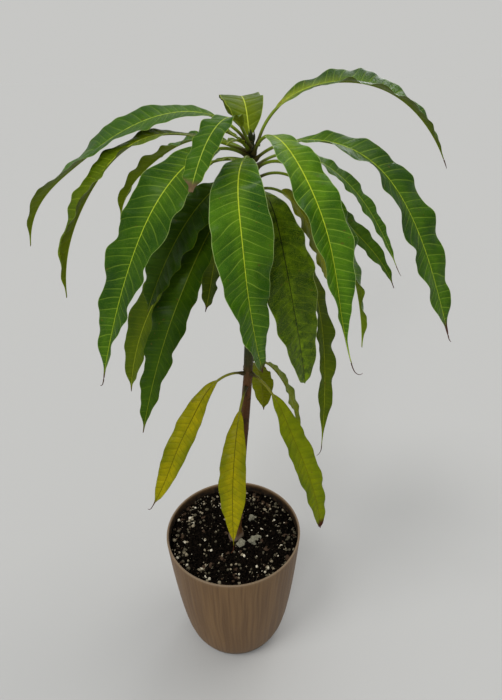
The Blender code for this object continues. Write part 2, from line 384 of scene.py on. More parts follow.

# %% [markdown]
# The plastic is a warm taupe, matte, a shade darker in the grooves of its grain.  The way
# round the pot keeps the finest streaks upright on the sloping side.  A painted highlight
# lightens the lip, and a soil stain with painted shade darkens the inner wall.

# %% Make the pot's plastic
def taupe_plastic():
    material, shader = start_material("taupe_plastic", 0.5, 0.25)
    place = object_place(shader)
    around = combined(scalar('MULTIPLY', stored(shader, "east"), 105.0),
                      scalar('MULTIPLY', stored(shader, "north"), 105.0),
                      scalar('MULTIPLY', height_of(place), 14.0))
    streak = speckle(around, 0.9, 3.0, 0.6)
    tone = fade(scalar('MULTIPLY_ADD', streak, 0.9, stored(shader, "grain")), 0.05, 0.85)
    colour = blend_colours(tone, shade(89, 65, 39), shade(108, 82, 51))
    cloud = fade(speckle(place, 14.0), 0.35, 0.7)
    colour = tinted(colour, shade(92, 68, 42), cloud, 0.25)
    # painted highlight: the lip is lightened as if the light caught it
    colour = tinted(colour, shade(128, 112, 92), stored(shader, "lip"), 0.6)
    # soil stain with painted shade on the inner wall, mottled
    stain_and_shade_mottle = fade(speckle(place, 240.0, 3.0), 0.3, 0.6, 0.75, 1.0)
    colour = tinted(colour, shade(26, 21, 17), stain_and_shade_mottle, stored(shader, "stain_and_shade"))
    feed(shader.inputs["Base Color"], colour)
    pores = speckle(place, 2600.0)
    feed(shader.inputs["Roughness"], fade(pores, 0.2, 0.8, 0.42, 0.6))
    raised(shader, scalar('MULTIPLY_ADD', streak, 1.5, pores), 0.0001, 0.35)
    return material


finish_piece("pot_shell", pot_mesh, [taupe_plastic()], "pot", sharp=70)

# %% [markdown]
# Potting soil is a dark, crumbly bed.  A square grid is pressed into a disc, which keeps its
# faces even, and noise at three sizes lifts it.  Its edge is drawn down against the pot.

# %% Shape the bed of soil
SOIL_RADIUS = pot_radius(SOIL_TOP) - POT_WALL - 0.0001
SOIL_STEPS = 150
SOIL_SKIRT = 0.012           # how far the edge is drawn down


def soil_height(x, y):
    """Relief of the soil's surface: shallow hollows, lumps and crumbs."""
    place = Vector((x, y, 0.0))
    swell = 0.0020 * noise.noise(place * 45)
    lumps = 0.0014 * noise.noise(place * 150)
    crumbs = 0.0009 * noise.noise(place * 480)
    mound = 0.0012 * math.exp(-place.length_squared / 0.018 ** 2)
    return SOIL_TOP + swell + lumps + crumbs + mound


def shape_soil():
    bm = bmesh.new()
    bmesh.ops.create_grid(bm, x_segments=SOIL_STEPS, y_segments=SOIL_STEPS, size=1.0)
    for vert in bm.verts:
        x, y = vert.co.x, vert.co.y
        vert.co.x = SOIL_RADIUS * x * math.sqrt(1 - y * y / 2)
        vert.co.y = SOIL_RADIUS * y * math.sqrt(1 - x * x / 2)
        vert.co.z = soil_height(vert.co.x, vert.co.y)
    rim = [edge for edge in bm.edges if edge.is_boundary]
    wall = bmesh.ops.extrude_edge_only(bm, edges=rim)
    for vert in [item for item in wall["geom"] if isinstance(item, bmesh.types.BMVert)]:
        vert.co.xy *= 0.98
        vert.co.z = SOIL_TOP - SOIL_SKIRT
    bottom = [edge for edge in bm.edges if edge.is_boundary]
    bmesh.ops.contextual_create(bm, geom=bottom)
    bmesh.ops.recalc_face_normals(bm, faces=bm.faces)
    return bm


soil_mesh = shape_soil()
print("soil bed radius", round(SOIL_RADIUS, 4))

# %% Make the soil's colour
def dark_soil():
    material, shader = start_material("dark_soil", 0.95, 0.0)
    place = object_place(shader)
    clods = fade(speckle(place, 420.0, 4.0), 0.35, 0.7)
    colour = blend_colours(clods, shade(6, 5, 4), shade(24, 19, 15))
    fibres = fade(speckle(place, 1500.0), 0.66, 0.74)
    feed(shader.inputs["Base Color"], tinted(colour, shade(92, 72, 54), fibres, 0.35))
    raised(shader, speckle(place, 1800.0, 3.0), 0.0006, 0.7)
    return material


soil_finish = dark_soil()
finish_piece("soil_bed", soil_mesh, [soil_finish], "soil", sharp=180)

# %% [markdown]
# Loose crumbs, white perlite and chips of bark lie on the bed, each kind joined in one piece.
# A bit is a coarse ball knocked out of round.  One helper strews a kind of bit: it draws
# places from a seeded source, drops any that would stand in the stem, and sets each one a
# little into the soil so that none floats.

# %% Strew crumbs
STEM_ASIDE = 0.002           # the stem's foot stands this far to the right of the middle
STEM_CLEARANCE = 0.0095
strewn = random.Random(7)


def scatter_place(edge_share, reach):
    """A place on the soil; a share of the bits gathers near the pot's wall."""
    while True:
        turn = strewn.uniform(0, math.tau)
        share = math.sqrt(strewn.random())
        if strewn.random() < edge_share:
            share = 1 - 0.30 * strewn.random() ** 1.5
        out = share * (SOIL_RADIUS - reach)
        x, y = out * math.cos(turn), out * math.sin(turn)
        if math.hypot(x - STEM_ASIDE, y) > STEM_CLEARANCE:
            return x, y


def add_ball(bm, place, turn, sizes, detail):
    """A ball stretched to three sizes, turned and put in its place; its points come back."""
    matrix = Matrix.Translation(place) @ turn @ Matrix.Diagonal((*sizes, 1))
    return bmesh.ops.create_icosphere(bm, subdivisions=detail, radius=0.5, matrix=matrix)["verts"]


def add_bit(bm, place, size, flat, detail, roughness):
    """One bit: a ball of the given size, flattened, turned and knocked out of round."""
    turn = Matrix.Rotation(strewn.uniform(0, math.tau), 4, 'Z')
    turn = turn @ Matrix.Rotation(strewn.uniform(-0.5, 0.5), 4, 'X')
    sizes = (size * strewn.uniform(0.8, 1.3), size * strewn.uniform(0.7, 1.1), size * flat)
    ball = add_ball(bm, place, turn, sizes, detail)
    shift = Vector((strewn.uniform(0, 50), strewn.uniform(0, 50), 0.0))
    middle = Vector(place)
    for vert in ball:
        from_middle = vert.co - middle
        knock = 1 + roughness * noise.noise(from_middle * (2.2 / size) + shift)
        vert.co = middle + from_middle * knock


def strew(count, low, high, flat, detail, edge_share, roughness):
    """Sizes run from low to high, and most bits are small."""
    bm = bmesh.new()
    for _ in range(count):
        size = low + (high - low) * strewn.random() ** 2.2
        x, y = scatter_place(edge_share, size / 2)
        height = soil_height(x, y) + size * flat * strewn.uniform(0.05, 0.35)
        add_bit(bm, (x, y, height), size, flat, detail, roughness)
    return bm


crumbs = strew(2400, 0.0012, 0.0048, 0.75, 1, 0.15, 0.7)
finish_piece("soil_crumbs", crumbs, [soil_finish], sharp=180)

# %% [markdown]
# Perlite is popped volcanic glass: chalky beads, more or less dusty with soil.  They lie
# thickest towards the pot's wall.  Each bead is dealt one of three plain colours, because so
# many small pieces in one mesh are best told apart by what they are, not by where they lie.

# %% Strew the perlite
BEAD_FACES = 20


def mineral(name, colour, pits_from=0.62):
    material, shader = start_material(name, 0.85, 0.15)
    pits = speckle(object_place(shader), 1900.0)
    dark = tuple(0.45 * number for number in colour[:3]) + (1.0,)
    tone = blend_colours(fade(pits, pits_from, pits_from + 0.1), colour, dark)
    feed(shader.inputs["Base Color"], tone)
    raised(shader, pits, 0.0004, 0.6)
    return material


def deal(bm, kinds):
    """Gives each bead one of the materials, by a seeded draw; the first kinds come up less."""
    for number, face in enumerate(bm.faces):
        if number % BEAD_FACES == 0:
            kind = min(int(kinds * math.sqrt(strewn.random())), kinds - 1)
        face.material_index = kind


perlite = strew(780, 0.0009, 0.0044, 0.85, 1, 0.50, 0.45)
perlite_kinds = [mineral("chalky_perlite", shade(204, 196, 174)),
                 mineral("dusty_perlite", shade(140, 130, 108)),
                 mineral("muddy_perlite", shade(84, 78, 62))]
deal(perlite, len(perlite_kinds))
finish_piece("perlite_beads", perlite, perlite_kinds, sharp=180)

# %% [markdown]
# Three larger pale lumps rest round the stem's foot, and one long strip of bark lies towards
# the back, among chips of the same bark.

# %% Set the pale lumps
PALE_LUMPS = [(0.0085, -0.0115, 0.0092), (0.0220, -0.0070, 0.0108), (0.0205, 0.0230, 0.0092)]

lumps = bmesh.new()
for x, y, size in PALE_LUMPS:
    add_bit(lumps, (x, y, soil_height(x, y) + size * 0.10), size, 0.75, 4, 0.9)
mossy = mineral("mossy_lump", shade(138, 135, 116), 0.46)
finish_piece("pale_lumps", lumps, [mossy], sharp=180)

# %% Strew chips of bark
STRIP_PLACE = (0.034, 0.046)
STRIP_LENGTH = 0.021
STRIP_HEADING = math.radians(-38)


def bark_strip(bm):
    x, y = STRIP_PLACE
    sizes = (STRIP_LENGTH, STRIP_LENGTH * 0.26, STRIP_LENGTH * 0.10)
    turn = Matrix.Rotation(STRIP_HEADING, 4, 'Z')
    for vert in add_ball(bm, Vector((x, y, soil_height(x, y) + 0.0006)), turn, sizes, 4):
        vert.co.z += 0.0008 * noise.noise(vert.co * 420) + 0.0004 * noise.noise(vert.co * 1300)


chips = strew(80, 0.0022, 0.0070, 0.35, 2, 0.45, 0.7)
bark_strip(chips)
chip_finish = mineral("chip_of_bark", shade(66, 50, 36), 0.5)
finish_piece("bark_chips", chips, [chip_finish], sharp=180)

# %% [markdown]
# A grid laid along a line makes most of this plant: rolled up it is a tube, left open it is
# a blade.  This helper rolls one up.  It takes rings, each a middle, two directions across
# and a radius, welds the seam, and closes both ends.

# %% Helper for tubes
WELD = 0.0000005             # points closer than this become one


def roll_tube(bm, rings, sides, relief=None, material_index=0):
    """Rings are (middle, across, up, radius); relief(ring, turn) is added to the radius."""
    sheet = bmesh.ops.create_grid(bm, x_segments=len(rings) - 1, y_segments=sides, size=0.5)
    verts = sheet["verts"]
    for vert in verts:
        number = round((vert.co.x + 0.5) * (len(rings) - 1))
        turn = math.tau * round((vert.co.y + 0.5) * sides) / sides
        middle, across, up, radius = rings[number]
        if relief:
            radius += relief(number, turn % math.tau)
        vert.co = middle + (across * math.cos(turn) + up * math.sin(turn)) * radius
    faces = list({face for vert in verts for face in vert.link_faces})
    bmesh.ops.remove_doubles(bm, verts=verts, dist=WELD)
    faces = [face for face in faces if face.is_valid]
    ends = {edge for face in faces for edge in face.edges if edge.is_boundary}
    caps = bmesh.ops.holes_fill(bm, edges=list(ends), sides=sides)["faces"]
    bmesh.ops.recalc_face_normals(bm, faces=faces + caps)
    for face in faces + caps:
        face.material_index = material_index
    return faces + caps


print("points closer than", WELD * 1000, "mm are welded")

# %% [markdown]
# The stem leans to the right as it climbs.  Its lower half has thin red-brown bark with
# fine upright wrinkles and the crescent scars of fallen leaves; its young upper half is dark
# green and smooth.  At the soil it thickens into its root collar.

# %% Measure the stem
STEM_LEAN = [(0.135, 0.0020), (0.240, 0.0105), (0.340, 0.0185), (0.440, 0.0225), (0.542, 0.0240)]
STEM_RADII = [(0.135, 0.0085), (0.140, 0.0068), (0.150, 0.0054), (0.175, 0.0048), (0.250, 0.0045),
              (0.345, 0.0042), (0.450, 0.0038), (0.520, 0.0035), (0.536, 0.0028), (0.542, 0.0014)]


def between(stations, height):
    """The value at a height, straight between the stations listed."""
    if height <= stations[0][0]:
        return stations[0][1]
    for (low, first), (high, second) in zip(stations, stations[1:]):
        if height <= high:
            return first + (second - first) * (height - low) / (high - low)
    return stations[-1][1]


def stem_x(height):
    return between(STEM_LEAN, height)


def stem_radius(height):
    return between(STEM_RADII, height)


print("stem", round(stem_radius((STEM_FOOT + STEM_TIP) / 2) * 2000, 1), "mm thick half way up")

# %% Shape the stem
STEM_SIDES = 44
STEM_ROWS = 420
STEM_SUNK = 0.002            # how far the bark runs on into the soil
# each scar is a height and the way it faces, in degrees
LEAF_SCARS = [(0.206, 20), (0.226, 150), (0.252, 265), (0.281, 40), (0.302, 185), (0.318, 300),
              (0.327, 95), (0.336, 230), (0.341, 330), (0.349, 170), (0.362, 250), (0.372, 20),
              (0.392, 140), (0.424, 310)]


def scar(height, turn):
    """Relief round the stem where a leaf fell: a raised crescent with a dip inside it."""
    lift = 0.0
    for at, heading in LEAF_SCARS:
        aside = (turn - math.radians(heading) + math.pi) % math.tau - math.pi
        across = aside * stem_radius(height) / 0.0022
        over = (height - at) / 0.0018
        apart = math.hypot(across, over + 0.35 * across * across)
        if apart < 2.5:
            lift += 0.00055 * math.exp(-((apart - 0.9) / 0.45) ** 2)
            lift -= 0.0002 * math.exp(-apart * apart * 2)
    return lift


def shape_stem():
    bm = bmesh.new()
    foot = STEM_FOOT - STEM_SUNK
    rows = [foot + (STEM_TIP - foot) * row / STEM_ROWS for row in range(STEM_ROWS + 1)]
    rings = [(Vector((stem_x(z), 0, z)), Vector((1, 0, 0)), Vector((0, 1, 0)), stem_radius(z))
             for z in rows]

    def relief(number, turn):
        z = rows[number]
        x, y = math.cos(turn) * 3.2, math.sin(turn) * 3.2
        woody = ramp(z, 0.39, 0.34)
        wrinkles = 0.00016 * woody * noise.noise(Vector((x * 2.4, y * 2.4, z * 48)))
        swells = 0.00030 * noise.noise(Vector((x, y, z * 60)) * 0.5)
        collar = 0.0012 * math.exp(-((z - 0.139) / 0.006) ** 2) * math.sin(turn * 3 + 1.0)
        knee = 0.0012 * math.exp(-((z - 0.187) / 0.007) ** 2) * max(math.cos(turn - 0.2), 0.0)
        return wrinkles + swells + collar + knee + scar(z, turn)

    roll_tube(bm, rings, STEM_SIDES, relief)
    return bm


stem_mesh = shape_stem()
print("stem:", len(stem_mesh.faces), "faces")

# %% [markdown]
# The bark's colour changes with height, so it is mixed by the Z of Object coordinates: grey
# at the collar, red-brown above, then dark green.  Pale corky specks lie over all of it.

# %% Make the stem's bark
def young_bark():
    material, shader = start_material("young_bark", 0.6, 0.2)
    place = object_place(shader)
    stretch = {"Vector": place, "Scale": (900.0, 900.0, 60.0)}
    streaks = add_node(place.id_data, "ShaderNodeMapping", stretch).outputs[0]
    grainy = speckle(streaks, 1.0, 3.0, 0.6)
    height = scalar('MULTIPLY_ADD', speckle(place, 60.0), 0.03, height_of(place))
    brown = blend_colours(grainy, shade(60, 36, 15), shade(98, 62, 30))
    blotch = fade(speckle(place, 130.0), 0.52, 0.64)
    brown = tinted(brown, shade(44, 34, 12), blotch, 0.55)
    moss = fade(speckle(place, 240.0, 1.0), 0.66, 0.72)
    brown = tinted(brown, shade(84, 88, 26), moss, 0.5)
    lower = blend_colours(fade(height, 0.148, 0.172), shade(108, 94, 80), brown)
    green = blend_colours(grainy, shade(24, 31, 8), shade(46, 56, 16))
    colour = blend_colours(fade(height, 0.345, 0.385), lower, green)
    cork = fade(speckle(place, 900.0, 1.0), 0.68, 0.74)
    feed(shader.inputs["Base Color"], tinted(colour, shade(132, 112, 84), cork, 0.4))
    raised(shader, grainy, 0.0004, 0.5)
    return material


bark = young_bark()
finish_piece("stem_bark", stem_mesh, [bark], "stem", sharp=80)

# %% [markdown]
# Now the leaves.  A mango leaf is lance-shaped and leathery, with a pale midrib, side veins
# that leave it at about sixty degrees, and a wavy margin.  It hangs from a stalk that is
# thick and dark where it joins the stem.  Each one is described by its height on the stem, its
# sizes in metres, and how its heading, pitch, roll and fold change from stalk to tip, in
# degrees.  A wave is its height and how many there are.  The point is a power, sharper as it
# rises; a cut below 1 leaves the tip off; drawn is the share of the blade that narrows to a
# drip tip; dry_from is where the dry end starts; flush is the yellow beside the midrib; and a
# thread is the dead end that some tips carry: its length, and how far it curls and nods.

# %% Note down the leaves
FULL_WAVE = (0.0018, 6.5)
GENTLE_WAVE = (0.0012, 6.5)
PALE_WAVE = (0.0010, 6.0)
USUAL = {"roll": (0, 0, 0), "fold": (12, 12, 20), "wave": FULL_WAVE, "point": 0.72, "cut": 1.0,
         "finish": "fresh", "dry_from": 0.97, "flush": 0.06, "drawn": 0.10, "thread": None}
leaves = []


def add_leaf(name, at, stalk, blade, width, heading, pitch, **own):
    leaves.append(SimpleNamespace(name=name, at=at, stalk=stalk, blade=blade, width=width,
                                  heading=heading, pitch=pitch, phase=1.1 * len(leaves),
                                  **{**USUAL, **own}))


print("a leaf has", len(USUAL), "usual settings")

# %% Leaves that arch out from the tip
add_leaf("leaf_left_high", 0.540, 0.026, 0.188, 0.038, (190, 188, 184, 180, 178),
         (53, -3, -30, -40, -82), roll=(5, 18, 16, -2, -5), fold=(6, 10, 14, 30), wave=(0.0012, 5),
         point=0.95, finish="cool")
add_leaf("leaf_left_folded", 0.533, 0.030, 0.180, 0.026, (194, 203, 200, 192, 184),
         (26, 5, -42, -64, -87), roll=(8, 6, 6, 14), fold=(8, 14, 36, 45), wave=(0.0018, 5), point=0.75,
         finish="young")
add_leaf("leaf_left_back", 0.532, 0.028, 0.150, 0.026, (122, 138, 156, 164, 166),
         (14, 0, -27, -44, -78), roll=(15, 10, -10, -20), fold=(15, 15, 25, 30), point=0.8,
         finish="cool")
add_leaf("leaf_left_front", 0.530, 0.030, 0.192, 0.042, (228, 228, 219, 211, 207),
         (32, -20, -55, -68, -74), roll=(18, 20, 12, 10), fold=(8, 8, 15, 25), finish="deep",
         dry_from=0.95, thread=(0.008, -80, 0))
add_leaf("leaf_young_broken", 0.537, 0.022, 0.085, 0.022, (252, 249, 243, 235, 232),
         (46, 31, -14, -50, -66), fold=(8, 8, 12), wave=(0.0008, 6), cut=0.85, finish="cool",
         dry_from=0.90)
add_leaf("leaf_back_high", 0.535, 0.009, 0.086, 0.032, (99, 101, 101, 99, 98), (60, 54, 6, -30, -45),
         fold=(14, 8, 8, 20), wave=(0.0010, 4), finish="young", flush=0.3)
add_leaf("leaf_right_high", 0.537, 0.027, 0.156, 0.034, (5, 5), (78, 25, -8, -39, -62),
         roll=(-12, -12, -14, -12), fold=(14, 16, 20, 26), wave=GENTLE_WAVE, point=0.85, finish="deep",
         flush=0.8, thread=(0.009, 60, 0))
add_leaf("leaf_right_long", 0.528, 0.035, 0.198, 0.038, (-50, -25, -15, -15, -15),
         (37, -4, -50, -66, -70), roll=(-8, -10, -30, -30), fold=(18, 15, 12, 12), wave=(0.0022, 6.5),
         point=0.6, finish="deep", dry_from=0.93, thread=(0.007, 50, 0))
add_leaf("leaf_right_front", 0.532, 0.025, 0.184, 0.032, (-67, -62, -42, -32, -30),
         (55, -24, -62, -78, -70), roll=(0, -10, -22, -24), fold=(8, 14, 34, 45), point=1.0, flush=0.25,
         drawn=0.24, thread=(0.016, 100, 0))
add_leaf("leaf_front", 0.526, 0.026, 0.166, 0.042, (-98, -98, -71, -40, -22), (32, -24, -75, -80, -76),
         fold=(8, 8, 12), wave=(0.0015, 6.5), point=0.52, dry_from=0.95, flush=0.15, drawn=0.03)
print(len(leaves), "leaves in the upper tier")

# %% Leaves of the middle tier
add_leaf("leaf_right_inner", 0.521, 0.028, 0.158, 0.026, (-48, -43, -29, -16, -5),
         (38, -26, -62, -75, -87), roll=(0, -2, 6, 8), fold=(15, 20, 25), point=0.8)
add_leaf("leaf_right_back_upper", 0.522, 0.030, 0.172, 0.021, (45, 33, 22, 12, 0),
         (24, -16, -40, -56, -64), roll=(-15, -30, -50, -40), wave=(0.0010, 6.5), point=0.8,
         finish="cool", thread=(0.012, 20, 0))
add_leaf("leaf_right_back_lower", 0.513, 0.030, 0.144, 0.021, (38, 15, 8, 4, 5),
         (22, -36, -42, -48, -66), roll=(-10, -25, -50, -40), wave=GENTLE_WAVE, point=0.8,
         finish="shaded", dry_from=0.93)
add_leaf("leaf_front_right_low", 0.506, 0.022, 0.150, 0.042, (-73, -62, -52, -42, -35),
         (35, -54, -72, -76, -82), roll=(0, -5, -10, -10), fold=(8, 8, 12), wave=GENTLE_WAVE, point=0.5,
         finish="mottled", dry_from=1.0, drawn=0.02)
add_leaf("leaf_left_inner", 0.517, 0.026, 0.112, 0.038, (230, 225, 210, 201, 198),
         (12, -24, -50, -62, -68), roll=(15, 20, 25), finish="shaded")
add_leaf("leaf_back_middle", 0.518, 0.028, 0.150, 0.036, (103, 103, 101, 100, 100),
         (5, -38, -60, -72, -82))
print(len(leaves), "leaves so far")

# %% Leaves that hang below
add_leaf("leaf_hanging_right_back", 0.505, 0.025, 0.118, 0.034, (36, 34, 28, 20, 15),
         (8, -40, -60, -68, -76), roll=(-30, -50, -50, -40), finish="olive")
add_leaf("leaf_hanging_right", 0.490, 0.026, 0.208, 0.022, (0, -14, -40, -75, -110),
         (-24, -66, -79, -84, -86), roll=(-10, -10, 10, 20), fold=(15, 20, 25), point=0.9,
         finish="yellowing", drawn=0.2, thread=(0.012, -60, 0))
add_leaf("leaf_hanging_left_front", 0.506, 0.028, 0.186, 0.030, (231, 226, 214, 209, 208),
         (-8, -48, -62, -70, -75), roll=(15, 25, 30), fold=(10, 14, 24), wave=(0.0022, 6.5), point=0.8,
         finish="shaded", dry_from=0.94)
add_leaf("leaf_hanging_left", 0.498, 0.028, 0.188, 0.034, (165, 175, 180, 185, 190),
         (-25, -50, -57, -70, -82), roll=(30, 50, 50), wave=GENTLE_WAVE, finish="yellowing",
         dry_from=0.95)
add_leaf("leaf_hanging_left_back", 0.502, 0.028, 0.118, 0.028, (110, 125, 150, 170, 180),
         (-10, -46, -72, -78, -75), roll=(20, 40, 60), wave=GENTLE_WAVE, finish="yellowing",
         dry_from=0.92)
add_leaf("leaf_hanging_back", 0.499, 0.028, 0.168, 0.036, (72, 70, 68, 66, 66), (5, -40, -62, -72, -80))
add_leaf("leaf_back_left", 0.526, 0.030, 0.152, 0.034, (136, 136, 136, 137, 138),
         (8, -26, -58, -72, -80), fold=(10, 14, 20))
print(len(leaves), "leaves in the crown")

# %% Old pale leaves low on the stem
add_leaf("old_leaf_left", 0.345, 0.026, 0.140, 0.022, (210, 207, 205, 206, 208),
         (28, -50, -60, -66, -54), roll=(20, 40, 45, 30), wave=PALE_WAVE, finish="old", dry_from=0.93,
         thread=(0.006, -90, 0))
add_leaf("old_leaf_front", 0.331, 0.022, 0.143, 0.026, (-107, -106, -105, -100, -90),
         (-25, -62, -75, -86, -88), wave=PALE_WAVE, point=1.25, finish="old", thread=(0.010, -50, 0))
add_leaf("old_leaf_right", 0.345, 0.028, 0.142, 0.026, (-48, -46, -38, -30, -28),
         (0, -52, -62, -72, -85), roll=(0, -15, -25), wave=PALE_WAVE, point=0.62, finish="late",
         dry_from=0.915, drawn=0.03)
add_leaf("old_leaf_back", 0.351, 0.020, 0.090, 0.025, (74, 74, 76, 78, 78), (-25, -45, -62, -72, -82),
         wave=PALE_WAVE, finish="late", dry_from=0.93)
add_leaf("old_leaf_right_back", 0.355, 0.028, 0.122, 0.024, (53, 48, 38, 30, 25),
         (-22, -48, -64, -76, -84), roll=(-20, -40, -50), wave=PALE_WAVE, finish="late", dry_from=0.95)
print(len(leaves), "leaves in all")

# %% [markdown]
# A leaf's line is walked in short steps: at each one the heading and the pitch are read from
# a smooth curve through their values, and the step is taken in the mean of the old and the
# new direction.  Each step keeps a point, the direction across the blade and the one that
# its upper face looks in.

# %% Helpers for directions
def along(values, fraction):
    """A smooth curve through equally spaced values."""
    last = len(values) - 1
    place = min(max(fraction, 0.0), 1.0) * last
    i = min(int(place), last - 1)
    f = place - i
    before = values[i - 1] if i > 0 else 2 * values[0] - values[1]
    after = values[i + 2] if i + 2 <= last else 2 * values[last] - values[last - 1]
    a, b = values[i], values[i + 1]
    return 0.5 * (2 * a + (b - before) * f + (2 * before - 5 * a + 4 * b - after) * f * f
                  + (3 * a - before - 3 * b + after) * f ** 3)


def direction(heading, pitch):
    h = math.radians(heading)
    p = math.radians(pitch)
    return Vector((math.cos(p) * math.cos(h), math.cos(p) * math.sin(h), math.sin(p)))


print("half way from 0 to 90 by 30:", round(along((0, 30, 90), 0.5), 1))

# %% Walk along a leaf
LEAF_THICKNESS = 0.0025      # of the plain solid, whose stalk starts this much clear of the stem
STALK_GAP = 0.0005
WALK_STEPS = 90


def walk_leaf(leaf):
    total = leaf.stalk + leaf.blade
    heading, pitch = leaf.heading[0], leaf.pitch[0]
    tilt = abs(math.sin(math.radians(pitch)))
    reach = stem_radius(leaf.at) + STALK_GAP + LEAF_THICKNESS / 2 * tilt
    place = Vector((stem_x(leaf.at), 0.0, leaf.at)) + direction(heading, 0.0) * reach
    ahead = direction(heading, pitch)
    frames = []
    for i in range(WALK_STEPS + 1):
        f = i / WALK_STEPS
        heading = along(leaf.heading, f)
        now = direction(heading, along(leaf.pitch, f))
        if i:
            place = place + (ahead + now) * (total / WALK_STEPS / 2)
        ahead = now
        h = math.radians(heading)
        side = Vector((math.sin(h), -math.cos(h), 0.0))
        up = side.cross(now)
        roll = math.radians(along(leaf.roll, f))
        frames.append((place.copy(), side * math.cos(roll) + up * math.sin(roll),
                       up * math.cos(roll) - side * math.sin(roll)))
    return frames


def frame_at(frames, fraction):
    place = fraction * (len(frames) - 1)
    i = min(int(place), len(frames) - 2)
    return [a.lerp(b, place - i) for a, b in zip(frames[i], frames[i + 1])]


print("the first leaf ends at", tuple(round(n, 3) for n in walk_leaf(leaves[0])[-1][0]))

# %% [markdown]
# A blade is two grids, one for each face, laid along that line and welded at the margin, so
# that it thins out to its edge as a real leaf does.  Each row of a grid has its own width,
# fold and ripple, and the two margins ripple apart.

# %% Measure a row of the blade
BLADE_ROWS = 140
BASE_FULLNESS = 0.72         # power of the outline near the stalk; a leaf's point is the tip's
BASE_ENDS = 0.47             # share of the blade where the one gives way to the other
LEAST_HALF = 0.0004          # half width at the very tip
CRIMP = 0.0020               # height of the fine crimps at the margin
MARGIN_SHIFTS = {1: 0.0, -1: 1.9}     # turns one margin's ripple against the other's


def smooth_ramp(value, start, full):
    share = ramp(value, start, full)
    return share * share * (3 - 2 * share)


def leaf_noise(leaf, x, y, layer=1):
    """Noise over the blade, from -1 to 1; every leaf and layer has its own."""
    return noise.noise(Vector((x, y, leaf.phase * layer)))


def blade_outline(t, point):
    """Half width as a share of the widest; a high power for the tip draws it out."""
    if not 0.0 < t < 1.0:
        return 0.0
    return math.sin(math.pi * t ** 0.92) ** (BASE_FULLNESS if t < BASE_ENDS else point)


def blade_row(leaf, frames, t):
    """All that the points of one row share."""
    place, across, up = frame_at(frames, (leaf.stalk + leaf.blade * t) / (leaf.stalk + leaf.blade))
    half = leaf.width / 2 * blade_outline(t * leaf.cut, leaf.point)
    half *= 1 - 0.65 * smooth_ramp(t, 1 - leaf.drawn, 1 - 0.3 * leaf.drawn)
    half = max(half, LEAST_HALF)
    fullness = min(half / (leaf.width / 2), 1.0)
    size, count = leaf.wave
    ripple = {}
    for side, shift in MARGIN_SHIFTS.items():
        turn = math.tau * count * t + leaf.phase + shift
        wave = math.sin(turn) + 0.18 * math.sin(2.3 * turn + 1.7 * leaf.phase)
        crimp = leaf_noise(leaf, t * leaf.blade * 120, shift * 3)
        wander = leaf_noise(leaf, t * leaf.blade * 75, shift * 3 + 9)
        ripple[side] = (size * fullness * wave, CRIMP * fullness * crimp, 1 + 0.08 * wander)
    return SimpleNamespace(t=t, place=place, across=across, up=up, half=half, fullness=fullness,
                           fold=math.radians(along(leaf.fold, t)), ripple=ripple)


print("share of the full width a third of the way along:", round(blade_outline(1 / 3, 0.72), 2))

# %% [markdown]
# The columns crowd towards the midrib, which needs the finest relief.  The fields between the
# side veins puff up, and the midrib stands out underneath.  What the finish needs later is
# stored on the vertices: where the veins run, the distances along, across and in from the
# margin, how dry it is, and how yellow beside the midrib.

# %% Place a point of the blade
BLADE_THICKNESS = 0.0005
VEIN_SPACING = 0.0070
VEIN_SLANT = 0.0094          # how much nearer the tip a vein meets the margin, in metres
PUFF_ABOVE = 0.00065
PUFF_BELOW = 0.00045
RIB_ABOVE = 0.00015
RIB_BELOW = 0.00075
GROOVE = 0.00012             # the upper face lies this much lower than half the thickness
DENT = 0.0026                # depth of the shallow dents in the blade


def face_lift(upper, row, out, share, vein):
    """How far a face stands off the middle of the blade."""
    puff = abs(math.sin(math.pi * vein)) ** 0.6 * row.fullness * share ** 0.4 * (1 - share) ** 0.5
    rib = math.exp(-(out / (0.0011 - 0.0006 * row.t)) ** 2) * (1 - 0.75 * row.t)
    if upper:
        return BLADE_THICKNESS / 2 + PUFF_ABOVE * puff - GROOVE + RIB_ABOVE * rib
    return -BLADE_THICKNESS / 2 + PUFF_BELOW * puff - RIB_BELOW * rib


def blade_point(leaf, row, column, upper):
    """Where a point lies, from column -1 to 1, and what is stored on it."""
    side = 1 if column >= 0 else -1
    share = abs(column) ** 1.5
    wave, crimp, wander = row.ripple[side]
    done = row.t * leaf.blade
    out = row.half * share * (1 - (1 - wander) * share)
    uneven = 0.21 * side + 0.7 * leaf_noise(leaf, done * 60, side * 4.0, 3)
    vein = (done - VEIN_SLANT * (out / 0.02) ** 1.15) / VEIN_SPACING + uneven
    rise = out * math.sin(row.fold) * (1 - 0.15 * share) + wave * share ** 1.7 + crimp * share ** 4
    rise += DENT * share * row.fullness * leaf_noise(leaf, done * 38, side * out * 45)
    if 0.0 < row.t < 1.0 and abs(column) < 0.999:
        rise += face_lift(upper, row, out, share, vein)
    patch = leaf_noise(leaf, done * 60, side * out * 90, 7)
    dry_end = min(leaf.dry_from + 0.05, 1.02)
    near_rib = math.exp(-(out / 0.006) ** 2) * math.exp(-(row.t / 0.35) ** 2)
    place = row.place + row.across * (side * out * math.cos(row.fold)) + row.up * rise
    return place, {"vein": vein, "along": done, "across": side * out,
                   "inward": row.half * (1 - share),
                   "dry": smooth_ramp(row.t + 0.02 * patch, leaf.dry_from, dry_end),
                   "flush": leaf.flush * near_rib * (0.8 + 0.6 * patch)}


print("a vein meets the margin", VEIN_SLANT * 1000, "mm nearer the tip")

# %% Shape a blade
BLADE_COLUMNS = 28
BLADE_LAYERS = ("vein", "along", "across", "inward", "dry", "flush")


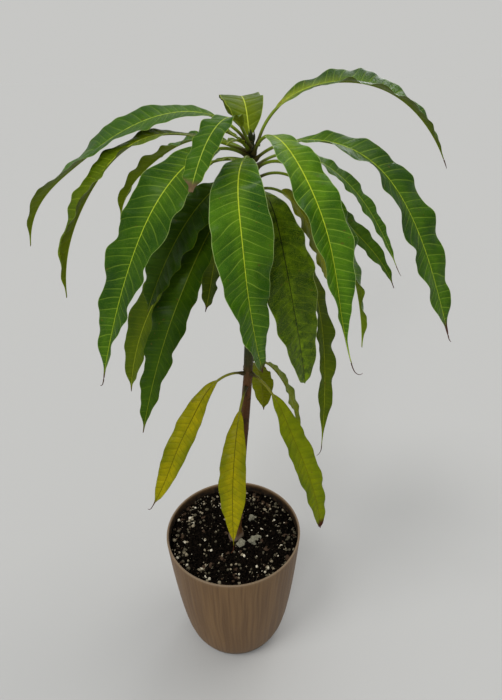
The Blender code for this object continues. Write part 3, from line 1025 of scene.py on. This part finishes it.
def shape_blade(bm, leaf, frames):
    """Both faces of the blade: material 0 above, material 1 below."""
    rows = [blade_row(leaf, frames, i / BLADE_ROWS) for i in range(BLADE_ROWS + 1)]
    layers = {name: bm.verts.layers.float.new(name) for name in BLADE_LAYERS}
    verts = []
    for material_index, upper in enumerate((True, False)):
        sheet = bmesh.ops.create_grid(bm, x_segments=BLADE_ROWS, y_segments=BLADE_COLUMNS,
                                      size=0.5)["verts"]
        verts += sheet
        for face in {face for vert in sheet for face in vert.link_faces}:
            face.material_index = material_index
        for vert in sheet:
            row = rows[round((vert.co.x + 0.5) * BLADE_ROWS)]
            column = 2 * round((vert.co.y + 0.5) * BLADE_COLUMNS) / BLADE_COLUMNS - 1
            vert.co, values = blade_point(leaf, row, column, upper)
            for name, value in values.items():
                vert[layers[name]] = value
    bmesh.ops.remove_doubles(bm, verts=verts, dist=WELD)
    bmesh.ops.recalc_face_normals(bm, faces=bm.faces)


print("a blade has", 2 * BLADE_ROWS * BLADE_COLUMNS, "faces")

# %% [markdown]
# The stalk is a slim tube with a swollen foot that is pressed into the stem, and it runs on
# under the first part of the midrib, so that there is no step where the blade begins.

# %% Shape a stalk
STALK_ROWS = 26
STALK_SIDES = 12
STALK_RADIUS = 0.00115
STALK_FOOT = 0.0021
STALK_LAP = 0.10             # share of the blade that the stalk runs on under
STALK_BITE = 0.0032          # how far the foot goes into the stem


def shape_stalk(bm, leaf, frames):
    """The tube is material 2; along is stored on it as the share of its own length."""
    lap = STALK_LAP * leaf.blade
    reach = leaf.stalk + lap
    root, across, up = frames[0]
    inward = (Vector((stem_x(leaf.at), 0.0, leaf.at)) - root).normalized()
    rings = [(root + inward * STALK_BITE, across, up, STALK_FOOT)]
    walked = [0.0]
    for row in range(STALK_ROWS + 1):
        done = reach * row / STALK_ROWS
        middle, across, up = frame_at(frames, done / (leaf.stalk + leaf.blade))
        swollen = (STALK_FOOT - STALK_RADIUS) * math.exp(-(done / 0.0035) ** 2)
        past = max(done - leaf.stalk, 0.0) / lap
        radius = (STALK_RADIUS + swollen) * (1 - 0.75 * past)
        rings.append((middle - up * 0.0003 * past, across, up, radius))
        walked.append(done / reach)
    faces = roll_tube(bm, rings, STALK_SIDES, material_index=2)
    layer = bm.verts.layers.float["along"]
    for vert in {vert for face in faces for vert in face.verts}:
        nearest = min(range(len(rings)), key=lambda i: (rings[i][0] - vert.co).length_squared)
        vert[layer] = walked[nearest]


print("a stalk is", STALK_RADIUS * 2000, "mm thick")

# %% [markdown]
# Some blades end in a dead thread that curls over.  It is a thin tube that goes on from the
# tip in the blade's own direction and turns a little more at every step.

# %% Shape a dry thread
THREAD_STEPS = 16
THREAD_SIDES = 8
THREAD_RADIUS = 0.00045


def shape_thread(bm, leaf, frames):
    length, curl, nod = leaf.thread
    place, across, up = frames[-1]
    ahead = (frames[-1][0] - frames[-2][0]).normalized()
    rings = []
    for step in range(THREAD_STEPS + 1):
        t = step / THREAD_STEPS
        rings.append((place.copy(), across.copy(), up.copy(), THREAD_RADIUS * (1 - 0.6 * t)))
        bend = Matrix.Rotation(math.radians(curl * 2 * t / THREAD_STEPS), 3, up)
        bend = Matrix.Rotation(math.radians(nod * 2 * t / THREAD_STEPS), 3, across) @ bend
        ahead, across, up = bend @ ahead, bend @ across, bend @ up
        place += ahead * (length / THREAD_STEPS)
    layer = bm.verts.layers.float["dry"]
    for face in roll_tube(bm, rings, THREAD_SIDES):
        for vert in face.verts:
            vert[layer] = 1.0


print("a thread is", THREAD_RADIUS * 2000, "mm thick")

# %% [markdown]
# The blade's finish is built from what the mesh stores, in the order that a painter would
# take: the green, the fine net of veinlets, the side veins, then flush, margin and midrib, and
# last the specks and the dry end.  A side vein shows where the stored vein number is whole.

# %% Colour the green and its net
def leaf_green(place, out, deep, light, mottle):
    """Clouds of two greens, lighter beside the midrib, with deeper patches."""
    clouds = fade(speckle(place, 30.0, 4.0), 0.32, 0.68)
    patches = fade(speckle(place, 170.0, 3.0), 0.35, 0.65)
    glow = fade(out, 0.001, 0.011, 0.55, 0.0)
    colour = blend_colours(scalar('MULTIPLY_ADD', clouds, 0.7, glow), deep, light)
    return tinted(colour, deep, patches, mottle)


def veinlet_net(done, across):
    """A net of cells about a millimetre wide: 1 on a veinlet, 0 beside it."""
    spread = combined(scalar('MULTIPLY', done, 1000.0), scalar('MULTIPLY', across, 1300.0))
    net = add_node(done.id_data, "ShaderNodeTexVoronoi", {"Vector": spread, "Scale": 1.0},
                   feature='DISTANCE_TO_EDGE')
    return fade(net.outputs["Distance"], 0.02, 0.10, 1.0, 0.0)


print("green and net ready")

# %% Draw the veins, the margin and the midrib
def side_veins(colour, off, out, vein_colour, vein_share):
    """Veins thin out towards the margin; weak ones run half way between them."""
    reach = fade(out, 0.004, 0.019, 1.0, 0.35)
    border = scalar('MULTIPLY', fade(off, 0.0, 0.17, 1.0, 0.0), reach)
    line = scalar('MULTIPLY', fade(off, 0.010, 0.036, 1.0, 0.0), reach)
    weak = scalar('MULTIPLY', fade(off, 0.47, 0.49), fade(out, 0.003, 0.013, 0.4, 0.0))
    colour = tinted(colour, vein_colour, border, 0.08)
    return tinted(colour, vein_colour, scalar('MAXIMUM', line, weak), vein_share)


def yellow_flush(colour, place, flush):
    """Yellow beside the midrib, with specks of rust where it is strongest."""
    colour = blend_colours(flush, colour, shade(140, 150, 6))
    rust = fade(speckle(place, 420.0), 0.58, 0.66)
    return tinted(colour, shade(120, 84, 14), rust, fade(flush, 0.55, 0.85))


def midrib(colour, out, done, rib_colour):
    """A pale band that narrows to the tip."""
    width = scalar('MULTIPLY_ADD', done, -0.0014, 0.00051)
    rib = fade(out, scalar('MULTIPLY', width, 0.6), width, 1.0, 0.0)
    return blend_colours(rib, colour, rib_colour)


def specks_and_dry_end(colour, place, dry, pale_dry, dark_dry):
    specks = fade(speckle(place, 330.0, 1.0), 0.735, 0.76)
    colour = tinted(colour, shade(92, 76, 24), specks, 0.5)
    return blend_colours(dry, colour, blend_colours(speckle(place, 240.0, 3.0), pale_dry, dark_dry))


print("veins and margin ready")

# %% Make a blade's finish
BROWN_DRY = ((86, 44, 22), (32, 16, 10))
STRAW_DRY = ((122, 102, 74), (70, 54, 36))


def blade_finish(name, colours, gloss, vein_share=0.4, coat=0.05, rim=0.3, rim_colour=None,
                 net_share=0.13, mottle=0.35, dry_colours=BROWN_DRY):
    """The colours are the deep and the light green, the veins' and the midrib's."""
    deep, light, vein_colour, rib_colour = (shade(*colour) for colour in colours)
    pale_dry, dark_dry = (shade(*colour) for colour in dry_colours)
    material, shader = start_material(name, gloss, 0.05)
    place = object_place(shader)
    across = stored(shader, "across")
    out = scalar('ABSOLUTE', across)
    done = stored(shader, "along")
    off = scalar('PINGPONG', stored(shader, "vein"), 0.5)
    dry = stored(shader, "dry")
    veinlets = veinlet_net(done, across)

    colour = leaf_green(place, out, deep, light, mottle)
    colour = tinted(colour, vein_colour, veinlets, net_share)
    colour = side_veins(colour, off, out, vein_colour, vein_share)
    colour = yellow_flush(colour, place, stored(shader, "flush"))
    margin = fade(stored(shader, "inward"), 0.00020, 0.00050, rim, 0.0)
    colour = blend_colours(margin, colour, shade(*rim_colour) if rim_colour else rib_colour)
    colour = midrib(colour, out, done, rib_colour)
    colour = specks_and_dry_end(colour, place, dry, pale_dry, dark_dry)
    feed(shader.inputs["Base Color"], colour)

    wax = fade(speckle(place, 120.0, 3.0), 0.3, 0.7, gloss - 0.06, gloss + 0.08)
    feed(shader.inputs["Roughness"], scalar('MULTIPLY_ADD', dry, 0.35, wax))
    shader.inputs["Coat Weight"].default_value = coat
    shader.inputs["Coat Roughness"].default_value = 0.27
    relief = scalar('MULTIPLY_ADD', veinlets, -0.30, fade(off, 0.0, 0.32))
    relief = scalar('MULTIPLY_ADD', speckle(place, 500.0), 0.5, relief)
    raised(shader, relief, 0.0005, 0.55)
    return material


print("blade finish ready")

# %% [markdown]
# Ten kinds of leaf show on this plant: fresh glossy ones, deeper green ones, cooler ones at
# the crown's edge, an olive one, older shaded ones, a mottled one with a pale margin, hanging
# ones that begin to yellow, young leaves near the tip, and two kinds of old leaf low on the
# stem, whose veins are darker than the blade.  Each has an upper and a lower finish: dark and
# waxy above, olive and duller below.

# %% Name the kinds of leaf
FINISHES = {}
SOFT_UNDER = (0.5, 0.4, 0.1)         # a lower face's gloss, its veins' share and its rim's
DULL_UNDER = (0.55, 0.35, 0.1)


def leaf_kind(kind, gloss, above, below, under=SOFT_UNDER, **looks):
    under_gloss, vein_share, rim = under
    upper = blade_finish(kind + "_leaf_above", above, gloss, **looks)
    lower = blade_finish(kind + "_leaf_below", below, under_gloss, vein_share, 0.0, rim)
    FINISHES[kind] = (upper, lower)


# The fresh kind's lower colours are the underside's own paler green, lightened further with painted
# light, as if it shone through the blade.
leaf_kind("fresh", 0.32, ((26, 70, 0), (76, 118, 2), (146, 176, 56), (184, 200, 48)),
          ((84, 104, 8), (112, 132, 16), (132, 148, 40), (160, 170, 60)),
          vein_share=0.65, coat=0.16, rim=0.8, rim_colour=(156, 176, 104))
leaf_kind("deep", 0.34, ((22, 58, 0), (58, 94, 1), (130, 158, 46), (164, 184, 46)),
          ((78, 96, 6), (104, 122, 14), (126, 142, 36), (152, 162, 54)),
          vein_share=0.6, coat=0.06, rim=0.7, rim_colour=(140, 160, 84))
leaf_kind("olive", 0.45, ((84, 94, 0), (134, 140, 2), (140, 142, 24), (156, 156, 34)),
          ((86, 96, 0), (136, 144, 2), (142, 142, 28), (158, 156, 38)), (0.55, 0.3, 0.1),
          vein_share=0.3, coat=0.04)
# The cool kind's lower colours are the underside's own paler green, lightened further with painted
# light, as if it shone through the blade.
leaf_kind("cool", 0.38, ((36, 72, 1), (60, 98, 6), (122, 150, 50), (158, 178, 60)),
          ((88, 106, 10), (116, 134, 20), (134, 150, 42), (160, 170, 60)),
          vein_share=0.5, coat=0.06, rim=0.5, dry_colours=STRAW_DRY)
leaf_kind("shaded", 0.44, ((32, 60, 0), (56, 86, 2), (86, 110, 14), (118, 134, 30)),
          ((60, 76, 8), (82, 98, 14), (104, 118, 36), (130, 142, 50)), DULL_UNDER, rim=0.5)
leaf_kind("mottled", 0.38, ((24, 54, 0), (98, 126, 4), (130, 150, 24), (34, 44, 4)),
          ((72, 88, 8), (96, 110, 16), (114, 126, 36), (138, 146, 50)), DULL_UNDER,
          vein_share=0.26, coat=0.16, rim=0.8, rim_colour=(150, 162, 92), net_share=0.45, mottle=0.95)
leaf_kind("yellowing", 0.42, ((48, 68, 0), (78, 94, 2), (108, 122, 18), (140, 148, 36)),
          ((80, 94, 6), (106, 118, 14), (128, 138, 36), (150, 156, 50)), DULL_UNDER)
leaf_kind("young", 0.36, ((60, 82, 0), (86, 104, 4), (134, 152, 36), (182, 194, 60)),
          ((84, 100, 8), (108, 124, 16), (134, 148, 46), (162, 172, 60)),
          vein_share=0.5, coat=0.07, rim=0.5)
leaf_kind("late", 0.46, ((78, 98, 0), (118, 128, 2), (84, 84, 0), (100, 104, 6)),
          ((98, 108, 4), (122, 128, 12), (92, 94, 10), (112, 114, 18)), (0.55, 0.35, 0.2),
          vein_share=0.35, coat=0.04, net_share=0.15, mottle=0.30)
leaf_kind("old", 0.48, ((92, 104, 0), (156, 146, 2), (82, 74, 0), (92, 88, 4)),
          ((118, 118, 6), (146, 142, 16), (94, 94, 10), (112, 112, 18)), (0.55, 0.4, 0.2),
          vein_share=0.5, coat=0.04, net_share=0.22, mottle=0.30)
print(len(FINISHES), "kinds of leaf")

# %% Make the stalks' finishes
def stalk_finish(name, foot_colour, blade_colour):
    """Dark and woody at the stem, the midrib's colour where the blade begins."""
    material, shader = start_material(name, 0.45, 0.2)
    place = object_place(shader)
    colour = blend_colours(fade(stored(shader, "along"), 0.05, 0.35), foot_colour, blade_colour)
    mottle = fade(speckle(place, 500.0), 0.4, 0.7)
    feed(shader.inputs["Base Color"], tinted(colour, shade(60, 52, 26), mottle, 0.25))
    raised(shader, speckle(place, 1200.0), 0.0002, 0.4)
    return material


crown_stalk = stalk_finish("crown_stalk", shade(64, 58, 14), shade(110, 130, 20))
old_stalk = stalk_finish("old_stalk", shade(52, 44, 18), shade(120, 120, 28))
print("stalks:", crown_stalk.name, old_stalk.name)

# %% Make every leaf
def make_leaf(leaf, covers=None):
    frames = walk_leaf(leaf)
    bm = bmesh.new()
    shape_blade(bm, leaf, frames)
    shape_stalk(bm, leaf, frames)
    if leaf.thread:
        shape_thread(bm, leaf, frames)
    old = leaf.name.startswith("old")
    materials = [*FINISHES[leaf.finish], old_stalk if old else crown_stalk]
    finish_piece(leaf.name + "_living", bm, materials, covers, sharp=75)


for leaf in leaves:
    make_leaf(leaf, leaf.name)

# %% [markdown]
# The stem ends in its bud: a few narrow scales folded round the growing point.  Each is a
# small flattened tube that stands nearly upright and leans in at its tip.

# %% Make the bud
# each scale is a heading, a length in metres and a pitch
BUD_SCALES = [(20, 0.0095, 78), (140, 0.0085, 74), (255, 0.0100, 80), (80, 0.0070, 62),
              (200, 0.0075, 60), (320, 0.0070, 64)]
SCALE_ROWS = 12
SCALE_RADIUS = 0.0011
SCALE_FLATNESS = 0.45


def make_bud():
    bm = bmesh.new()
    for heading, length, pitch in BUD_SCALES:
        middle = Vector((stem_x(STEM_TIP), 0.0, STEM_TIP - 0.0035)) + direction(heading, 0) * 0.0012
        ahead = direction(heading, pitch)
        across = direction(heading + 90, 0)
        up = across.cross(ahead)
        rings = []
        for row in range(SCALE_ROWS + 1):
            t = row / SCALE_ROWS
            radius = SCALE_RADIUS * math.sin(math.pi * (0.12 + 0.85 * t)) ** 0.8
            centre = middle + ahead * length * t - up * 0.0012 * t * t
            rings.append((centre, across, up * SCALE_FLATNESS, radius))
        roll_tube(bm, rings, 10)
    return bm


finish_piece("tip_bud", make_bud(), [bark], sharp=60)

# %% [markdown]
# Three slips of young leaf, only a few centimetres long, stand round the bud.  They are made
# as the large leaves are, and cover no solid of the plain model because they are so small.

# %% Add the slips of young leaf
SLIPS = [("young_slip_left", 0.527, 0.008, 0.027, 0.010, (206, 208, 210), (14, 0, -25)),
         ("young_slip_high", 0.538, 0.007, 0.026, 0.010, (176, 174, 172), (42, 18, -15)),
         ("young_slip_front", 0.535, 0.008, 0.025, 0.009, (240, 241, 242), (40, 15, -20))]
for slip in SLIPS:
    add_leaf(*slip, wave=(0.0005, 3), point=1.0, finish="young", dry_from=1.0)
    make_leaf(leaves[-1])
